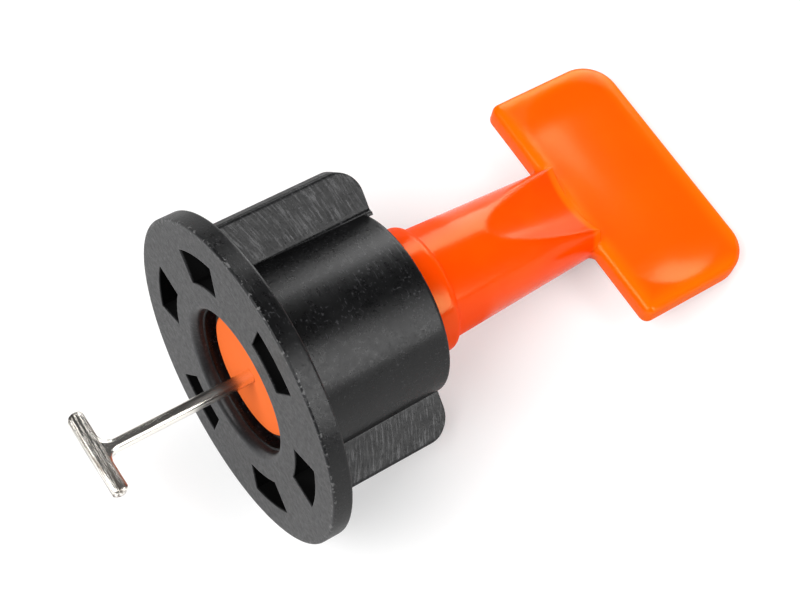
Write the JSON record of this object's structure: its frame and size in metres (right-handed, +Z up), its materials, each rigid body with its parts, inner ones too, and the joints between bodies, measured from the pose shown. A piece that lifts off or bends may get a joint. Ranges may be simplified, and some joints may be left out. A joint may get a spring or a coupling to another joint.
{
  "type": "tile levelling clip",
  "caption": "Reusable tile levelling clip: a winged, flanged base nut screws along the threaded plug of a T-handle, and a steel T-pin hooks under the tiles.",
  "frame": {"origin": "on the table under the middle of the lying clip", "axes": "+X along the clip from the hook to the grip, +Z up; the screw axis lies in the XZ plane and slopes down towards the grip"},
  "size_m": [0.0779, 0.04, 0.0388],
  "materials": {
    "black_plastic": "moulded, satin, finely scuffed",
    "orange_plastic": "moulded, glossy",
    "pin_steel": "nickel-plated, drawn"
  },
  "bodies": {
    "handle": {"handle": "orange_plastic", "t_pin": "pin_steel"},
    "nut": {"base_nut": "black_plastic"}
  },
  "joints": [
    {"name": "nut_travel", "type": "slide", "parent": "handle", "child": "nut", "axis": [-0.9561, 0, 0.2931], "range_m": [0, 0.012]}
  ]
}
